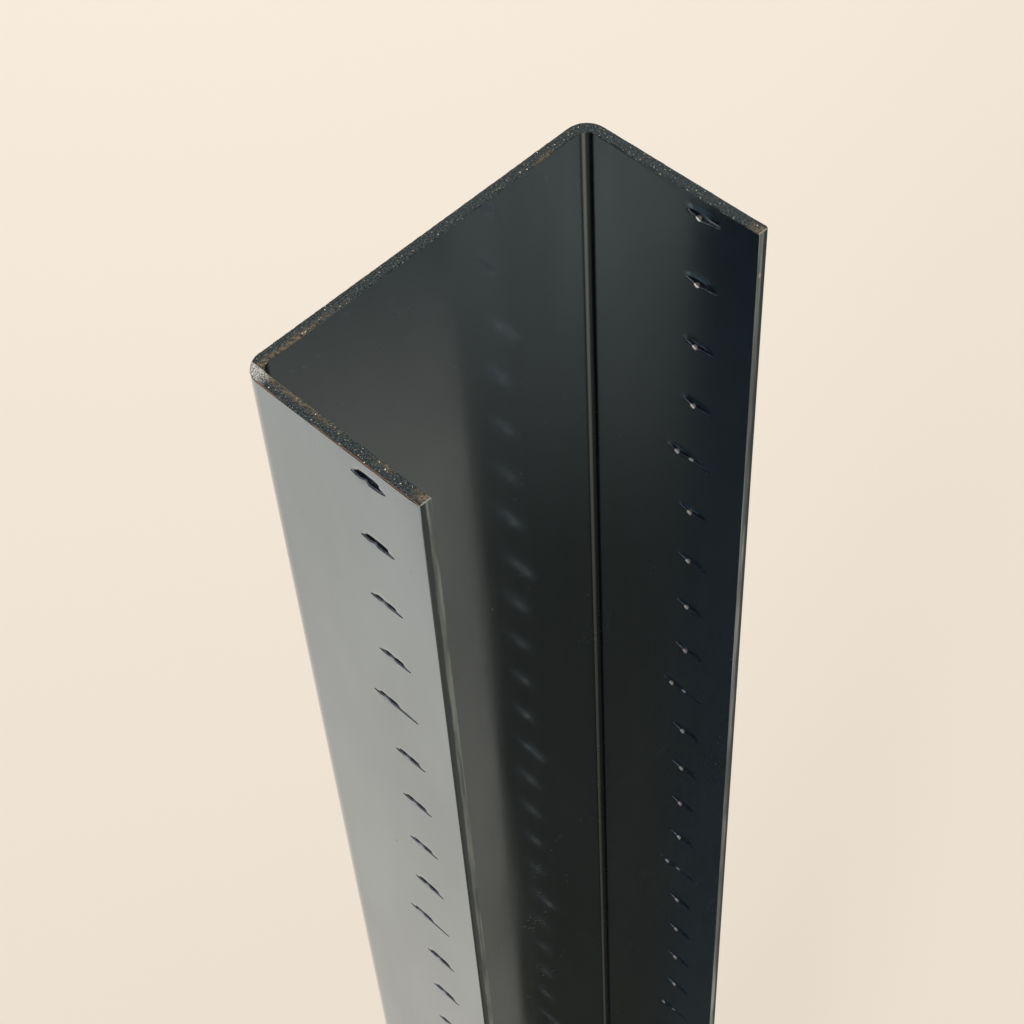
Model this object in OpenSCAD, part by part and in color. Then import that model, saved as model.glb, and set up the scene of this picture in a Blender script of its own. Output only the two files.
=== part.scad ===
// Slotted channel post: one strip of steel, cold formed into a U section,
// with a row of short lanced slits down each flange.
// The foot stands on Z = 0, the web's outer face looks along +Y
// and the open side looks along -Y.

/* [Section] */
// Width over the outsides of the two flanges
web_w = 100; // [60:1:160]
// Depth from the web's outer face to the flanges' free edges
flange_d = 52; // [44:1:80]
// Thickness of the sheet
wall_t = 3; // [1.5:0.1:5]
// Inside radius of the two bends
bend_r = 2.5; // [1:0.5:10]
// Radius of the sheared arris along each flange's outer edge
arris_r = 0.5; // [0.2:0.1:0.7]

/* [Length] */
// Length of the post, foot to top end
post_l = 1000; // [400:10:3000]

/* [Slits] */
// Distance from one slit to the next
slit_pitch = 20; // [15:1:40]
// Distance from the top end to the first slit
slit_first = 5; // [3:0.5:20]
// Solid metal left under the lowest slit
slit_foot = 10; // [5:1:60]
// Solid edge between a slit and the flange's free edge
slit_edge = 10.5; // [4:0.5:15]
// Length of an ordinary slit
slit_l = 9; // [4:0.5:14]
// Length of a long slit
long_slit_l = 13.5; // [8:0.5:20]
// Every so many slits, one is a long one
long_every = 5; // [2:1:10]
// Width of a slit at its middle
slit_w = 1.4; // [0.6:0.1:3]

/* [Hidden] */
$fn = 64;
through = 2;                        // how far a cutter runs past a face
outer_r = bend_r + wall_t;          // outside radius of the bends
half_w = web_w / 2;
web_y = flange_d / 2;               // the web's outer face
edge_y = -flange_d / 2;             // the flanges' free edges
slit_count = floor((post_l - slit_first - slit_foot) / slit_pitch) + 1;

// Quarter of the sheet's bend, its centre at the origin
module bend() {
    intersection() {
        difference() {
            circle(r = outer_r);
            circle(r = bend_r);
        }
        square(outer_r + through);
    }
}

// One flange in plan: flat stretch with its outer arris rounded, +X side
module flange_plan() {
    flat = flange_d - outer_r;
    translate([half_w - wall_t, edge_y]) {
        translate([0, arris_r])
            square([wall_t, flat - arris_r]);
        square([wall_t - arris_r, flat]);
        translate([wall_t - arris_r, arris_r])
            circle(r = arris_r);
    }
}

// The U section, open towards -Y
module section() {
    for (side = [0, 1])
        mirror([side, 0]) {
            flange_plan();
            translate([half_w - outer_r, web_y - outer_r])
                bend();
        }
    translate([outer_r - half_w, web_y - wall_t])
        square([web_w - 2 * outer_r, wall_t]);
}

// A pointed slit seen face on: two arcs meeting at its ends, along X
module slit_outline(length) {
    arc_r = (pow(length, 2) + pow(slit_w, 2)) / (4 * slit_w);
    offset_y = arc_r - slit_w / 2;
    intersection() {
        translate([0, offset_y]) circle(r = arc_r);
        translate([0, -offset_y]) circle(r = arc_r);
    }
}

// The cutter for one slit, through the +X flange, its outer end at Y = 0
module slit_cut(length) {
    translate([half_w - wall_t - through, length / 2, 0])
        rotate([90, 0, 90])
            linear_extrude(wall_t + 2 * through)
                slit_outline(length);
}

module channel_post() {
    color([0.16, 0.18, 0.19])
    difference() {
        linear_extrude(post_l) section();
        for (side = [0, 1], i = [0 : slit_count - 1])
            mirror([side, 0, 0])
                translate([0, edge_y + slit_edge, post_l - slit_first - i * slit_pitch])
                    slit_cut((i + 1) % long_every == 0 ? long_slit_l : slit_l);
    }
}

channel_post();
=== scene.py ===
import math
import random
import bmesh
import bpy
from mathutils import Matrix, Vector


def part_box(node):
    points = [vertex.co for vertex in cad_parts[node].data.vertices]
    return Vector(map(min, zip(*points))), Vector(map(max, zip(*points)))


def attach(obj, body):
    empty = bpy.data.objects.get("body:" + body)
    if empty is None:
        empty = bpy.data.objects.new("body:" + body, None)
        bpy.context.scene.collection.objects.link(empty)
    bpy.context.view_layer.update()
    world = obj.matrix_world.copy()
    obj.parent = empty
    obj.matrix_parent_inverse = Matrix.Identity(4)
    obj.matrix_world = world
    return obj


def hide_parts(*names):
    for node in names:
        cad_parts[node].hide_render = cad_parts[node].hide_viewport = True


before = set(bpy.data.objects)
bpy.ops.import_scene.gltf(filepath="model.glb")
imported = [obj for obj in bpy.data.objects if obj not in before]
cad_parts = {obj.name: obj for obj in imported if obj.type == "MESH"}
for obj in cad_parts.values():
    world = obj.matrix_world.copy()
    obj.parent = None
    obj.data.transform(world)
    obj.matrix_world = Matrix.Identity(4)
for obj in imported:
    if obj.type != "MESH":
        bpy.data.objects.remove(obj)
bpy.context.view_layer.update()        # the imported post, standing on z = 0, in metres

print("frame loaded:", sorted(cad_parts))

low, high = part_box("channel_post")      # the sheet's outside

post = {
    "wall": 0.003,
    "insideRadius": 0.0025,
    "bendSteps": 8,
    "slitPitch": 0.020,
    "slitFirst": 0.005,         # top end to the first slit
    "slitEdge": 0.0105,         # free edge to the slit's outer end
    "longEvery": 5,
    "freeArris": 0.0006,        # rolled-over outer arris of the sheared edges
    "freeArrisSteps": 4,
    "endArris": 0.0002,         # chamfer left by filing the cut ends
    "endCuts": 60,              # in each end arris that is longer than the next size
    "longArris": 0.02,
    "ragged": 0.00008,
    "raggedSeed": 3,
    "smoothAngle": 32,          # degrees; sharper edges stay sharp
}
slit = {
    "length": 0.009,
    "longLength": 0.0135,
    "width": 0.0014,
    "corners": 24,
    # how far each ring of edges stands off the slit, along it and across it
    "rings": ((0.0003, 0.0004), (0.0008, 0.0011), (0.0016, 0.0020), (0.0024, 0.0030)),
    "deepest": 0.0030,          # web-side end of a slit to where the punch went deepest
    "lipBand": (0.3, 1.01),     # corners that count as a lip's, in half widths off the middle
    "lipSpan": (-0.5, 0.2),     # pressed part of the upper lip, in lengths from the deepest point
    "lipReach": 0.0013,
    # the first slits down from the top have these; the rest draw theirs from the range
    "widthFactors": (1.25, 0.85),
    "otherWidth": (0.50, 0.70),
    "lipDepths": (0.00045, 0.00040),
    "otherDepth": (0.00022, 0.00040),
    "burrSpan": 0.06,           # in slit lengths, each way
    "burrHeight": 0.00045,      # the lower lip's burr, where the punch went deepest
    "burrReach": 0.0011,
    "roundOver": 0.00042,       # lower lips, rounded over by the punch
    "roundSteps": 3,
    "flush": 1.002,             # points further out than this times the flange are pressed back
    "seed": 7,
}
outsideRadius = post["insideRadius"] + post["wall"]
bendY = high.y - outsideRadius
slitsInBlock = post["longEvery"]
blockHeight = slitsInBlock * post["slitPitch"]
blockCount = round((high.z - low.z) / blockHeight)
tiny = 1e-5


def deselectAll():
    bpy.ops.object.select_all(action="DESELECT")


def makeActive(piece):
    deselectAll()
    piece.select_set(True)
    bpy.context.view_layer.objects.active = piece


def startEdit(piece):
    makeActive(piece)
    bpy.ops.object.mode_set(mode="EDIT")


def endEdit():
    bpy.ops.object.mode_set(mode="OBJECT")


def selectWhere(piece, kind, test):
    # in edit mode: leaves selected only what passes the test
    bpy.ops.mesh.select_mode(type=kind)
    bpy.ops.mesh.select_all(action="DESELECT")
    cage = bmesh.from_edit_mesh(piece.data)
    cage.normal_update()
    found = 0
    for part in {"VERT": cage.verts, "EDGE": cage.edges, "FACE": cage.faces}[kind]:
        if test(part):
            part.select_set(True)
            found += 1
    bmesh.update_edit_mesh(piece.data)
    return found


def centreOf(part):
    return sum((v.co for v in part.verts), Vector()) / len(part.verts)


def applyModifier(piece, kind, **settings):
    makeActive(piece)
    modifier = piece.modifiers.new(kind.title(), kind)
    for name, value in settings.items():
        setattr(modifier, name, value)
    bpy.ops.object.modifier_apply(modifier=modifier.name)


def makeSlitTile(name, length, topZ):
    # one pitch of the left flange's outer skin, with a pointed slit near its top
    centre = Vector((low.x, low.y + post["slitEdge"] + length / 2, topZ - post["slitFirst"]))
    deselectAll()
    bpy.ops.mesh.primitive_circle_add(vertices=slit["corners"], radius=length / 2,
                                      location=centre, rotation=(0, math.pi / 2, 0))
    tile = bpy.context.object
    tile.name = name
    bpy.ops.object.transform_apply()
    startEdit(tile)
    bpy.ops.mesh.select_all(action="SELECT")
    bpy.ops.transform.resize(value=(1, 1, slit["width"] / length), center_override=centre)
    along, across = length / 2, slit["width"] / 2
    for pastEnd, pastLip in slit["rings"]:
        wider, taller = length / 2 + pastEnd, slit["width"] / 2 + pastLip
        bpy.ops.mesh.extrude_edges_move()
        bpy.ops.transform.resize(value=(1, wider / along, taller / across), center_override=centre)
        along, across = wider, taller
    # the tile's outline, filled up to the last ring
    bpy.ops.mesh.select_all(action="DESELECT")
    middle = Vector((low.x, (low.y + bendY) / 2, topZ - post["slitPitch"] / 2))
    bpy.ops.mesh.primitive_plane_add(size=1, rotation=(0, math.pi / 2, 0), location=middle)
    bpy.ops.transform.resize(value=(1, bendY - low.y, post["slitPitch"]), center_override=middle)
    bpy.ops.mesh.delete(type="ONLY_FACE")

    def outsideRings(edge):
        return len(edge.link_faces) < 2 and all(
            ((v.co.y - centre.y) / along) ** 2 + ((v.co.z - centre.z) / across) ** 2 > 0.9
            for v in edge.verts)

    selectWhere(tile, "EDGE", outsideRings)
    bpy.ops.mesh.fill(use_beauty=True)
    endEdit()
    return tile


def makeSheetHalf():
    # one long slit and the short ones above it, with the bend and half of the web
    half = makeSlitTile("channelPost", slit["length"], low.z + blockHeight)
    longTile = makeSlitTile("longTile", slit["longLength"], low.z + post["slitPitch"])
    applyModifier(half, "ARRAY", count=slitsInBlock - 1, use_relative_offset=False,
                  use_constant_offset=True, constant_offset_displace=(0, 0, -post["slitPitch"]))
    deselectAll()
    longTile.select_set(True)
    half.select_set(True)
    bpy.context.view_layer.objects.active = half
    bpy.ops.object.join()
    startEdit(half)
    bpy.ops.mesh.select_all(action="SELECT")
    bpy.ops.mesh.remove_doubles(threshold=tiny)
    selectWhere(half, "EDGE", lambda edge: all(abs(v.co.y - bendY) < tiny for v in edge.verts))
    bpy.ops.mesh.spin(steps=post["bendSteps"], angle=math.pi / 2, axis=(0, 0, 1),
                      center=(low.x + outsideRadius, bendY, 0))
    selectWhere(half, "EDGE", lambda edge: all(abs(v.co.y - high.y) < tiny for v in edge.verts)
                and abs(edge.verts[0].co.x - edge.verts[1].co.x) < tiny)
    toMiddle = (-low.x - outsideRadius, 0, 0)
    bpy.ops.mesh.extrude_edges_move(TRANSFORM_OT_translate={"value": toMiddle})
    endEdit()
    applyModifier(half, "ARRAY", count=blockCount, use_relative_offset=False,
                  use_constant_offset=True, constant_offset_displace=(0, 0, blockHeight),
                  use_merge_vertices=True, merge_threshold=tiny)
    return half


def pushIn(depth, reach):
    bpy.ops.transform.translate(value=(depth, 0, 0), use_proportional_edit=True,
                                proportional_edit_falloff="SMOOTH",
                                proportional_size=reach, use_proportional_connected=True)


def lanceSlits(half):
    # each slit gets its own width, its upper lip is pressed in, and its lower lip gets a burr
    draw = random.Random(slit["seed"])
    nearLip, farLip = slit["lipBand"]
    spanStart, spanEnd = slit["lipSpan"]

    def pick(index, firstOnes, others):
        return firstOnes[index] if index < len(firstOnes) else draw.uniform(*others)

    startEdit(half)
    for i in range(blockCount * slitsInBlock):
        length = slit["longLength"] if (i + 1) % post["longEvery"] == 0 else slit["length"]
        y = low.y + post["slitEdge"] + length / 2
        z = high.z - post["slitFirst"] - i * post["slitPitch"]
        width = pick(i, slit["widthFactors"], slit["otherWidth"])
        depth = pick(i, slit["lipDepths"], slit["otherDepth"])
        reachY, reachZ = length / 2 + tiny, slit["width"] / 2 + tiny
        selectWhere(half, "VERT", lambda v: v.co.x < low.x + tiny and abs(v.co.z - z) < reachZ
                    and abs(v.co.y - y) < reachY)
        bpy.ops.transform.resize(value=(1, 1, width), center_override=(low.x, y, z))
        deepestY = low.y + post["slitEdge"] + length - slit["deepest"]
        lip = slit["width"] * width / 2
        selectWhere(half, "VERT", lambda v: nearLip < (v.co.z - z) / lip < farLip
                    and spanStart < (v.co.y - deepestY) / slit["length"] < spanEnd)
        pushIn(depth, slit["lipReach"])
        selectWhere(half, "VERT", lambda v: nearLip < (z - v.co.z) / lip < farLip
                    and abs(v.co.y - deepestY) < slit["burrSpan"] * slit["length"])
        pushIn(slit["burrHeight"], slit["burrReach"])
    endEdit()


sheet = makeSheetHalf()
print("half sheet:", len(sheet.data.vertices), "corners")
lanceSlits(sheet)
applyModifier(sheet, "MIRROR", use_mirror_merge=True, merge_threshold=tiny)
startEdit(sheet)
bpy.ops.mesh.select_all(action="SELECT")
bpy.ops.mesh.remove_doubles(threshold=tiny)
bpy.ops.mesh.normals_make_consistent(inside=False)
endEdit()
applyModifier(sheet, "SOLIDIFY", thickness=post["wall"], offset=-1, use_rim=True)
print("solid:", len(sheet.data.polygons), "faces, box",
      [[round(c, 4) for c in corner] for corner in (sheet.bound_box[0], sheet.bound_box[6])])


def makeMaterial(name):
    material = bpy.data.materials.new(name)
    material.use_nodes = True
    return material, material.node_tree.nodes["Principled BSDF"]


def addNode(material, kind, settings=None, **inputs):
    # a node with its sockets set or linked: _0 is the first socket, and _ in a name is a space
    tree = material.node_tree
    node = tree.nodes.new(kind)
    for name, value in (settings or {}).items():
        setattr(node, name, value)
    for name, value in inputs.items():
        key = int(name[1:]) if name[1:].isdigit() else name.replace("_", " ")
        socket = node.inputs[key]
        if isinstance(value, bpy.types.NodeSocket):
            tree.links.new(value, socket)
        else:
            socket.default_value = value
    return node


def objectPlace(material, stretch=(1, 1, 1)):
    place = addNode(material, "ShaderNodeTexCoord").outputs["Object"]
    return addNode(material, "ShaderNodeMapping", Vector=place, Scale=stretch).outputs["Vector"]


def grain(material, scale, detail=3.0, rough=0.6, stretch=(1, 1, 1)):
    return addNode(material, "ShaderNodeTexNoise", Vector=objectPlace(material, stretch),
                   Scale=scale, Detail=detail, Roughness=rough).outputs["Fac"]


def remap(material, value, fromLow, fromHigh, toLow=0.0, toHigh=1.0):
    return addNode(material, "ShaderNodeMapRange", Value=value, From_Min=fromLow, From_Max=fromHigh,
                   To_Min=toLow, To_Max=toHigh).outputs["Result"]


def mixColour(material, amount, first, second):
    def colour(value):
        return value if isinstance(value, bpy.types.NodeSocket) else (*value, 1)
    return addNode(material, "ShaderNodeMix", {"data_type": "RGBA"},
                   _0=amount, _6=colour(first), _7=colour(second)).outputs[2]


def compute(material, operation, first, second=0.0):
    return addNode(material, "ShaderNodeMath", {"operation": operation},
                   _0=first, _1=second).outputs[0]


def axes(material):
    place = addNode(material, "ShaderNodeTexCoord").outputs["Object"]
    return addNode(material, "ShaderNodeSeparateXYZ", Vector=place).outputs


def link(material, output, shader, name):
    material.node_tree.links.new(output, shader.inputs[name])


def addBump(material, shader, height, strength, distance):
    bump = addNode(material, "ShaderNodeBump", Height=height, Strength=strength, Distance=distance)
    link(material, bump.outputs["Normal"], shader, "Normal")


def addDots(material, perMetre, rarity, size, channel=0, stretch=(1, 1, 1)):
    # scattered dots: a cell holds one where its own random value is above the rarity
    cells = addNode(material, "ShaderNodeTexVoronoi", Vector=objectPlace(material, stretch),
                    Scale=perMetre)
    values = addNode(material, "ShaderNodeSeparateColor", Color=cells.outputs["Color"]).outputs
    return compute(material, "MULTIPLY", compute(material, "GREATER_THAN", values[channel], rarity),
                   compute(material, "LESS_THAN", cells.outputs["Distance"], size))


millSkin = {
    "steel": (0.327, 0.397, 0.462),
    "worn": (0.291, 0.353, 0.410),
    "creaseShade": (0.060, 0.074, 0.086),    # painted shade in the inner bends
    "creaseHighlight": (0.27, 0.33, 0.38),   # with a painted highlight along one line
    "highlightPlace": 0.0009,                # nearer to the web than to the flange by this much
    "highlightWidth": (0.0008, 0.0003),
    "pit": (0.045, 0.050, 0.055),
    "rough": (0.09, 0.16),
    "dust": (0.15, 0.145, 0.14),
    # grains: scale, detail, roughness, stretch
    "cloud": (38, 4.0, 0.55, (1, 1, 0.35)),
    "streak": (420, 2.0, 0.5, (1, 1, 0.03)),
    "skin": (300, 4.0, 0.6),
    "scuffed": (30, 2.0),
    # dots: how many cells to a metre, rarity, size, colour channel drawn from
    "specks": (230, 0.86, 0.055, 0),
    "pits": (150, 0.90, 0.045, 1),
    "scratchTurn": 38,          # degrees off the post's length
    "scratchTilt": 0.3,
    "scratchScale": 1300,
    "scratchRough": 0.16,       # added to the roughness in a scratch, and in a crease
    "creaseRough": 0.12,
    "creaseFade": 0.0007,
    "bump": (0.03, 0.0002),     # strength, distance
}


def makeMillSkin():
    # smooth dark mill finish, a little cloudy, with dust, small dark pits and fine scratches;
    # painted shade in the inner bends, with a painted highlight line in each
    material, shader = makeMaterial("millSteel")
    cloud = grain(material, *millSkin["cloud"])
    streak = grain(material, *millSkin["streak"])
    steel = mixColour(material, remap(material, cloud, 0.35, 0.65),
                      millSkin["steel"], millSkin["worn"])
    speck = addDots(material, *millSkin["specks"])
    pit = addDots(material, *millSkin["pits"])
    # how far a point lies into the inner bends, from the web's side and from the flange's
    x, y = axes(material)[0], axes(material)[1]
    intoFlange = compute(material, "SUBTRACT", compute(material, "ABSOLUTE", x),
                         high.x - outsideRadius)
    intoWeb = compute(material, "SUBTRACT", y, high.y - outsideRadius)
    least = compute(material, "MINIMUM", intoFlange, intoWeb)
    most = compute(material, "MAXIMUM", intoFlange, intoWeb)
    # painted shade in the inner bends, and a painted highlight along one line in each
    creaseShade = compute(material, "MULTIPLY", remap(material, least, 0, millSkin["creaseFade"]),
                     compute(material, "LESS_THAN", most, post["insideRadius"] + 0.0001))
    fromHighlight = compute(material, "ABSOLUTE", compute(
        material, "ADD", compute(material, "SUBTRACT", intoFlange, intoWeb), millSkin["highlightPlace"]))
    paintedCreaseLight = mixColour(material, remap(material, fromHighlight, *millSkin["highlightWidth"]),
                        millSkin["creaseShade"], millSkin["creaseHighlight"])
    steel = mixColour(material, creaseShade, steel, paintedCreaseLight)
    steel = mixColour(material, pit, steel, millSkin["pit"])
    link(material, mixColour(material, speck, steel, millSkin["dust"]), shader, "Base Color")
    link(material, compute(material, "SUBTRACT", 1.0, speck), shader, "Metallic")
    turn = (millSkin["scratchTilt"], math.radians(millSkin["scratchTurn"]), 0)
    turned = addNode(material, "ShaderNodeMapping", Vector=objectPlace(material), Rotation=turn)
    stretched = addNode(material, "ShaderNodeMapping", Vector=turned.outputs["Vector"],
                        Scale=(1, 1, 0.04))
    lines = addNode(material, "ShaderNodeTexNoise", Vector=stretched.outputs["Vector"],
                    Scale=millSkin["scratchScale"], Detail=1.0).outputs["Fac"]
    scratched = compute(material, "MULTIPLY", remap(material, lines, 0.66, 0.74),
                        remap(material, grain(material, *millSkin["scuffed"]), 0.52, 0.62))
    haze = compute(material, "ADD", compute(material, "MULTIPLY", cloud, 0.7),
                   compute(material, "MULTIPLY", streak, 0.3))
    smooth = remap(material, haze, 0.35, 0.65, *millSkin["rough"])
    roughInCrease = compute(material, "MULTIPLY", creaseShade, millSkin["creaseRough"])
    smooth = compute(material, "ADD", smooth, roughInCrease)
    scuffs = compute(material, "MULTIPLY", scratched, millSkin["scratchRough"])
    link(material, compute(material, "ADD", smooth, scuffs), shader, "Roughness")
    addBump(material, shader, grain(material, *millSkin["skin"]), *millSkin["bump"])
    return material


cutSteel = {
    "scale": (0.006, 0.013, 0.017),
    "grit": (0.135, 0.172, 0.172),
    "fleck": (0.82, 0.78, 0.64),
    "rust": (0.185, 0.140, 0.082),
    "rustReach": (0.026, 0.012),        # how far the rust runs from the left bend
    "edgeRust": (0.20, 0.11, 0.07),
    "bright": (0.72, 0.73, 0.71),
    "filed": (0.36, 0.37, 0.33),
    "rustLine": 0.00022,        # width of the rusty line along the left flange's outer arris
    "filedLine": 0.00030,
    "cornerReach": 0.0045,      # brown stain beside the flanges' corners
    "brightReach": (0.0075, 0.0040),    # filed bright patch round the left bend
    "fine": (2700, 4.0, 0.85),
    "coarse": (1100, 3.0, 0.7),
    "patch": (55, 2.0, 0.5),
    "fleckGrain": (1900, 2.0, 0.5),
    "rough": (0.75, 0.5),
    "specular": 0.2,
    "bump": (0.6, 0.0002),
}


def makeCutSteel():
    # gritty sawn ends: dark scale, bright flecks, rust along the arrises
    material, shader = makeMaterial("cutSteel")
    x, y = axes(material)[0], axes(material)[1]
    fine, coarse, patch, fleckGrain = (
        grain(material, *cutSteel[name]) for name in ("fine", "coarse", "patch", "fleckGrain"))
    # how deep a point lies below the sheet's outside: from the flange or from the web
    fromFlange = compute(material, "SUBTRACT", high.x, compute(material, "ABSOLUTE", x))
    fromWeb = compute(material, "SUBTRACT", high.y, y)
    fromEdge = compute(material, "SUBTRACT", y, low.y)
    depth = compute(material, "MINIMUM", fromFlange, fromWeb)
    onLeft = compute(material, "LESS_THAN", x, low.x + post["wall"])
    ground = mixColour(material, remap(material, fine, 0.49, 0.66),
                       cutSteel["scale"], cutSteel["grit"])
    alongFlange = addNode(material, "ShaderNodeVectorMath", {"operation": "DISTANCE"},
                          _0=addNode(material, "ShaderNodeCombineXYZ", X=x, Y=y).outputs[0],
                          _1=(low.x + post["wall"], bendY, 0)).outputs["Value"]
    rusty = compute(material, "MAXIMUM", remap(material, alongFlange, *cutSteel["rustReach"]),
                    remap(material, patch, 0.58, 0.66))
    innerBand = compute(material, "MULTIPLY", remap(material, depth, 0.0012, 0.0026), rusty)
    corner = compute(material, "MULTIPLY",
                     remap(material, fromEdge, cutSteel["cornerReach"], 0.001),
                     remap(material, depth, 0.0004, 0.0012))
    stain = compute(material, "MULTIPLY", compute(material, "MAXIMUM", innerBand, corner),
                    remap(material, coarse, 0.42, 0.58))
    ground = mixColour(material, stain, ground, cutSteel["rust"])
    bend = compute(material, "MULTIPLY", remap(material, fromFlange, *cutSteel["brightReach"]),
                   remap(material, fromWeb, *cutSteel["brightReach"]))
    bright = compute(material, "MULTIPLY", compute(material, "MULTIPLY", bend, onLeft),
                     remap(material, fine, 0.43, 0.56))
    ground = mixColour(material, bright, ground, cutSteel["bright"])
    rustLine = compute(material, "MULTIPLY",
                       compute(material, "LESS_THAN", fromFlange, cutSteel["rustLine"]),
                       compute(material, "MULTIPLY", onLeft, remap(material, patch, 0.36, 0.50)))
    ground = mixColour(material, rustLine, ground, cutSteel["edgeRust"])
    filed = compute(material, "LESS_THAN", fromEdge, cutSteel["filedLine"])
    ground = mixColour(material, filed, ground, cutSteel["filed"])
    fleck = compute(material, "MULTIPLY", remap(material, fleckGrain, 0.668, 0.70),
                    remap(material, coarse, 0.40, 0.50))
    link(material, mixColour(material, fleck, ground, cutSteel["fleck"]), shader, "Base Color")
    link(material, compute(material, "MAXIMUM", fleck, filed), shader, "Metallic")
    link(material, remap(material, fine, 0.3, 0.7, *cutSteel["rough"]), shader, "Roughness")
    shader.inputs["Specular IOR Level"].default_value = cutSteel["specular"]
    addBump(material, shader, compute(material, "ADD", fine, coarse), *cutSteel["bump"])
    return material


shearedSteel = {
    "burnished": (0.065, 0.085, 0.092),     # the outer part, smeared by the shear
    "torn": (0.48, 0.54, 0.52),             # the inner part, where the sheet broke
    "nick": (0.55, 0.52, 0.44),
    "breakDepth": 0.0015,
    "breakFade": 0.0002,
    "breakWaver": 0.0010,
    "along": (700, 3.0, 0.6, (1, 1, 0.05)),
    "chatter": (160, 2.0, 0.5, (1, 1, 0.5)),
    "patch": (14, 2.0, 0.5),
    "nicks": (500, 0.95, 0.22, 0, (1, 1, 0.5)),
    "metallic": 0.6,
    "rough": (0.32, 0.5),
    "bump": (0.35, 0.0001),
}


def makeShearedSteel():
    # the free edges: burnished on the outer side, torn and streaky on the inner
    material, shader = makeMaterial("shearedSteel")
    x = axes(material)[0]
    along = grain(material, *shearedSteel["along"])
    chatter = grain(material, *shearedSteel["chatter"])
    depth = compute(material, "SUBTRACT", high.x, compute(material, "ABSOLUTE", x))
    waver = compute(material, "MULTIPLY", compute(material, "SUBTRACT", chatter, 0.5),
                    shearedSteel["breakWaver"])
    torn = remap(material, compute(material, "ADD", depth, waver),
                 shearedSteel["breakDepth"] - shearedSteel["breakFade"],
                 shearedSteel["breakDepth"] + shearedSteel["breakFade"])
    streaks = compute(material, "MULTIPLY", remap(material, along, 0.35, 0.65, 0.20, 1.0),
                      remap(material, grain(material, *shearedSteel["patch"]),
                            0.42, 0.58, 0.50, 1.0))
    colour = mixColour(material, compute(material, "MULTIPLY", torn, streaks),
                       shearedSteel["burnished"], shearedSteel["torn"])
    nick = addDots(material, *shearedSteel["nicks"])
    link(material, mixColour(material, nick, colour, shearedSteel["nick"]), shader, "Base Color")
    shader.inputs["Metallic"].default_value = shearedSteel["metallic"]
    link(material, remap(material, torn, 0, 1, *shearedSteel["rough"]), shader, "Roughness")
    addBump(material, shader, along, *shearedSteel["bump"])
    return material


lancedSteel = {
    # the walls' colours are painted shade and painted sheen
    "shadow": (0.045, 0.055, 0.075),
    "paintedSheen": (0.13, 0.155, 0.195),
    "bareGlint": (0.92, 0.90, 0.86),
    "bareGlintReach": 0.00062,       # radius of the bare spot at the inner mouth, which is also a painted highlight
    "rag": (1500, 3.0, 0.7),
    "ragReach": 0.0004,
    "metallic": 0.95,
    "rough": (0.28, 0.38),
}


def makeLancedSteel():
    # the slits' own walls: painted shade with patches of painted sheen, and a bare bright spot
    # where the punch went deepest, which is bare metal and a painted highlight
    material, shader = makeMaterial("lancedSteel")
    x, y = axes(material)[0], axes(material)[1]
    fromMouth = compute(material, "SUBTRACT", compute(material, "ABSOLUTE", x),
                        high.x - post["wall"])
    rag = grain(material, *lancedSteel["rag"])
    deepest = low.y + post["slitEdge"] - slit["deepest"]
    away = compute(material, "MINIMUM", *(
        compute(material, "ABSOLUTE", compute(material, "SUBTRACT", y, deepest + length))
        for length in (slit["length"], slit["longLength"])))
    ragged = compute(material, "ADD", away,
                     compute(material, "MULTIPLY", rag, lancedSteel["ragReach"]))
    offSpot = addNode(material, "ShaderNodeCombineXYZ", X=ragged, Y=fromMouth).outputs[0]
    spot = addNode(material, "ShaderNodeVectorMath", {"operation": "LENGTH"},
                   _0=offSpot).outputs["Value"]
    # the bare spot: bare metal, shaped and placed as a painted highlight
    bareGlint = remap(material, spot, lancedSteel["bareGlintReach"] + 0.0004,
                 lancedSteel["bareGlintReach"] + 0.0001)
    # painted shade with patches of painted sheen
    wall = mixColour(material, remap(material, rag, 0.30, 0.70),
                     lancedSteel["shadow"], lancedSteel["paintedSheen"])
    link(material, mixColour(material, bareGlint, wall, lancedSteel["bareGlint"]), shader, "Base Color")
    shader.inputs["Metallic"].default_value = lancedSteel["metallic"]
    link(material, remap(material, bareGlint, 0, 1, *lancedSteel["rough"]), shader, "Roughness")
    return material


sheet.data.materials.clear()
for maker in (makeMillSkin, makeLancedSteel, makeCutSteel, makeShearedSteel):
    sheet.data.materials.append(maker())
skinSlot, lancedSlot, cutSlot, shearedSlot = range(4)


def atEnd(part):
    return all(min(abs(v.co.z - low.z), abs(v.co.z - high.z)) < tiny for v in part.verts)


def fromEnd(v):
    return min(v.co.z - low.z, high.z - v.co.z)


def atFreeEdge(part):
    return all(abs(v.co.y - low.y) < tiny for v in part.verts)


def inSlit(face):
    return abs(face.normal.x) < 0.5 and centreOf(face).y < bendY - tiny


def isLowerLip(edge):
    # between a slit's wall and the sheet, where the wall looks up
    slots = sorted(face.material_index for face in edge.link_faces)
    return slots == [skinSlot, lancedSlot] and any(
        face.normal.z > 0.5 for face in edge.link_faces if face.material_index == lancedSlot)


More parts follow.
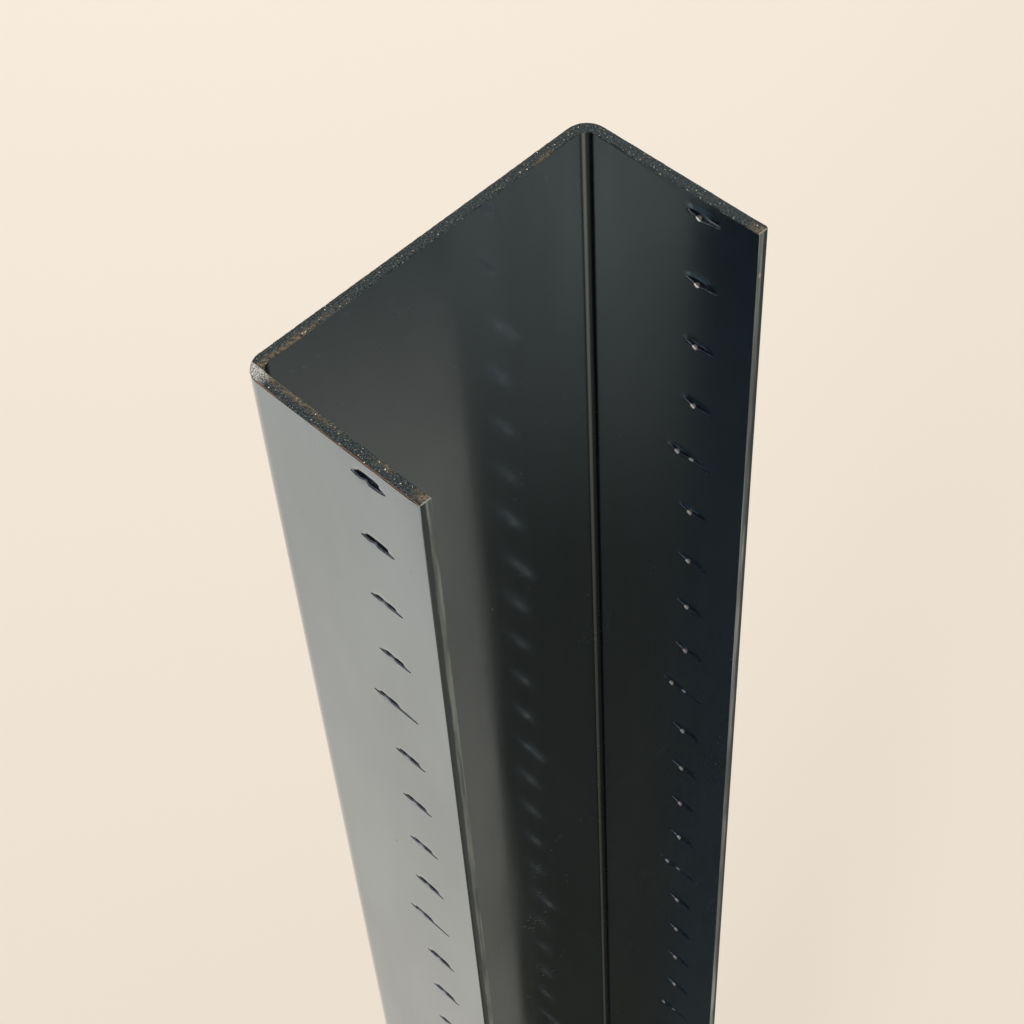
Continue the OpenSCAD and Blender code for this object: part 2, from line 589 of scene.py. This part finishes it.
def finishEdges(piece):
    startEdit(piece)
    for slot, test in ((lancedSlot, inSlit), (cutSlot, atEnd), (shearedSlot, atFreeEdge)):
        selectWhere(piece, "FACE", test)
        piece.active_material_index = slot
        bpy.ops.object.material_slot_assign()
    outer = selectWhere(piece, "EDGE", lambda edge: atFreeEdge(edge) and not atEnd(edge)
                        and all(abs(abs(v.co.x) - high.x) < tiny for v in edge.verts))
    bpy.ops.mesh.bevel(offset=post["freeArris"], segments=post["freeArrisSteps"], profile=0.5)
    # the saw leaves the long arrises of both ends uneven
    selectWhere(piece, "EDGE", lambda edge: atEnd(edge) and edge.calc_length() > post["longArris"])
    bpy.ops.mesh.subdivide(number_cuts=post["endCuts"])
    ends = selectWhere(piece, "EDGE", lambda edge: atEnd(edge)
                       and any(not atEnd(face) for face in edge.link_faces))
    bpy.ops.mesh.bevel(offset=post["endArris"], segments=1, profile=0.5, material=cutSlot)
    arris = post["endArris"]
    selectWhere(piece, "VERT", lambda v: 0.5 * arris < fromEnd(v) < 1.5 * arris)
    bpy.ops.transform.vertex_random(offset=post["ragged"], seed=post["raggedSeed"])
    lips = selectWhere(piece, "EDGE", isLowerLip)
    bpy.ops.mesh.bevel(offset=slit["roundOver"], segments=slit["roundSteps"], profile=0.5,
                       material=lancedSlot)
    # at a slit's sharp tip the bevel can leave a point standing out: it is pressed flush
    for side in (low.x, high.x):
        if selectWhere(piece, "VERT", lambda v: v.co.x / side > slit["flush"]
                       and fromEnd(v) >= 2 * arris):
            bpy.ops.transform.resize(value=(0, 1, 1), center_override=(side, 0, 0))
    endEdit()
    print("edges finished:", outer, "sheared,", ends, "cut,", lips, "lips")


finishEdges(sheet)
makeActive(sheet)
bpy.ops.object.shade_smooth_by_angle(angle=math.radians(post["smoothAngle"]))
applyModifier(sheet, "WEIGHTED_NORMAL", keep_sharp=True)
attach(sheet, "root")
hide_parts("channel_post")

studio = {
    "floor": (0.82, 0.762, 0.685),
    "floorSize": 160,
    "flagPlace": (0, -0.78, 0.02),
    "flagSize": (2.5, 1.5),
    # painted shade and light on the flag, to the left and right of the post, near it and further
    # out
    "flagLeft": ((0.102, 0.092, 0.070), (0.48, 0.41, 0.33)),
    "flagRight": ((0.245, 0.225, 0.192), (0.105, 0.110, 0.104)),
    "flagLeftReach": (0.60, 0.98),
    "flagRightReach": (0.70, 1.0),
    "sky": (0.92, 0.87, 0.81),
    "skyStrength": 0.905,
    "softbox": {"place": (1.2, 1.7, 2.4), "aim": (1.2, 1.7, 0), "size": 2.0, "power": 21},
    "edgeLamp": {"place": (-1.5, -0.65, 2.1), "aim": (0, 0, 0.9), "size": 0.45, "power": 6.0},
}


def addCard(name, place, size):
    deselectAll()
    bpy.ops.mesh.primitive_plane_add(size=1, location=place)
    card = bpy.context.object
    card.name = name
    card.scale = (*size, 1)
    bpy.ops.object.transform_apply(location=True, rotation=True, scale=True)
    material, shader = makeMaterial(name + "Paint")
    shader.inputs["Roughness"].default_value = 1.0
    shader.inputs["Specular IOR Level"].default_value = 0.0
    card.data.materials.append(material)
    return card, material, shader


def addSoftLight(name, place, aim, size, power):
    deselectAll()
    bpy.ops.object.light_add(type="AREA", location=place)
    light = bpy.context.object
    light.name = name
    light.data.shape = "DISK"
    light.data.size = size
    light.data.energy = power
    light.rotation_euler = (Vector(aim) - Vector(place)).to_track_quat("-Z", "Y").to_euler()


def addFlag():
    # an unseen card in front of the post, which its open side reflects: its paint is painted shade
    # and light standing in for the surroundings there
    flag, paint, shader = addCard("flag", studio["flagPlace"], studio["flagSize"])
    place = addNode(paint, "ShaderNodeTexCoord").outputs["Object"]
    reach = addNode(paint, "ShaderNodeVectorMath", {"operation": "LENGTH"},
                    _0=place).outputs["Value"]
    left = mixColour(paint, remap(paint, reach, *studio["flagLeftReach"]), *studio["flagLeft"])
    right = mixColour(paint, remap(paint, reach, *studio["flagRightReach"]), *studio["flagRight"])
    side = remap(paint, axes(paint)[0], -0.04, 0.04)
    link(paint, mixColour(paint, side, left, right), shader, "Base Color")
    flag.visible_camera = flag.visible_diffuse = flag.visible_shadow = False


floorShader = addCard("floor", (0, 0, 0), (studio["floorSize"],) * 2)[2]
floorShader.inputs["Base Color"].default_value = (*studio["floor"], 1)
addFlag()
world = bpy.data.worlds.new("studio")
bpy.context.scene.world = world
world.use_nodes = True
world.node_tree.nodes["Background"].inputs["Color"].default_value = (*studio["sky"], 1)
world.node_tree.nodes["Background"].inputs["Strength"].default_value = studio["skyStrength"]
bpy.context.scene.view_settings.view_transform = "Standard"
addSoftLight("topSoftbox", **studio["softbox"])
addSoftLight("edgeLamp", **studio["edgeLamp"])

view = {
    "aim": (-0.017, -0.015, 0.9585),
    "distance": 0.45,
    "azimuth": -42.22,      # degrees round from -Y
    "elevation": 51.44,
    "roll": -4.12,
    "lens": 75.2,
    "nearest": 0.01,
}


def addCamera():
    azimuth, elevation = math.radians(view["azimuth"]), math.radians(view["elevation"])
    level = math.cos(elevation)
    back = Vector((math.sin(azimuth) * level, -math.cos(azimuth) * level, math.sin(elevation)))
    deselectAll()
    bpy.ops.object.camera_add(location=Vector(view["aim"]) + back * view["distance"])
    camera = bpy.context.object
    facing = (-back).to_track_quat("-Z", "Y").to_matrix().to_4x4()
    roll = Matrix.Rotation(math.radians(view["roll"]), 4, "Z")
    camera.rotation_euler = (facing @ roll).to_euler()
    camera.data.lens = view["lens"]
    camera.data.clip_start = view["nearest"]
    bpy.context.scene.camera = camera


addCamera()
print("studio ready")
